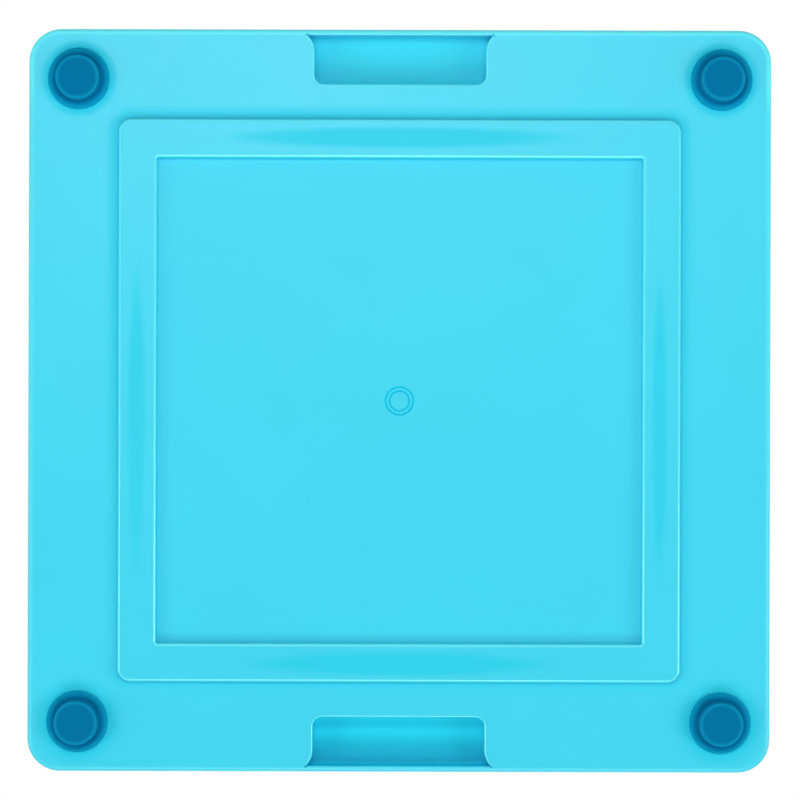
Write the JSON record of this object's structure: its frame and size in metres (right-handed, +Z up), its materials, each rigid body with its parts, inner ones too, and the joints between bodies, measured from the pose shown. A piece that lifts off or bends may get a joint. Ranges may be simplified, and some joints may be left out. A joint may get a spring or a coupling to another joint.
{
  "type": "lick mat",
  "caption": "Square lick mat: a soft textured licking mat lifts out of a rimmed plastic holder tray with finger grips, which stands on push-in rubber feet.",
  "frame": {"origin": "on the floor under the middle of the tray, where the feet stand", "axes": "+Z up out of the licking surface, +Y towards the rear finger grip, +X to the right"},
  "size_m": [0.2726, 0.2726, 0.017],
  "materials": {
    "tray_plastic": "satin moulded turquoise plastic",
    "mat_rubber": "soft matte turquoise rubber",
    "foot_rubber": "matte dark teal rubber"
  },
  "bodies": {
    "holder": {"tray": "tray_plastic", "foot_front_left": "foot_rubber", "foot_front_right": "foot_rubber", "foot_rear_left": "foot_rubber", "foot_rear_right": "foot_rubber"},
    "mat": {"lick_mat": "mat_rubber"}
  },
  "joints": [
    {"name": "mat_lift", "type": "slide", "parent": "holder", "child": "mat", "axis": [0, 0, 1], "range_m": [0, 0.04]}
  ]
}
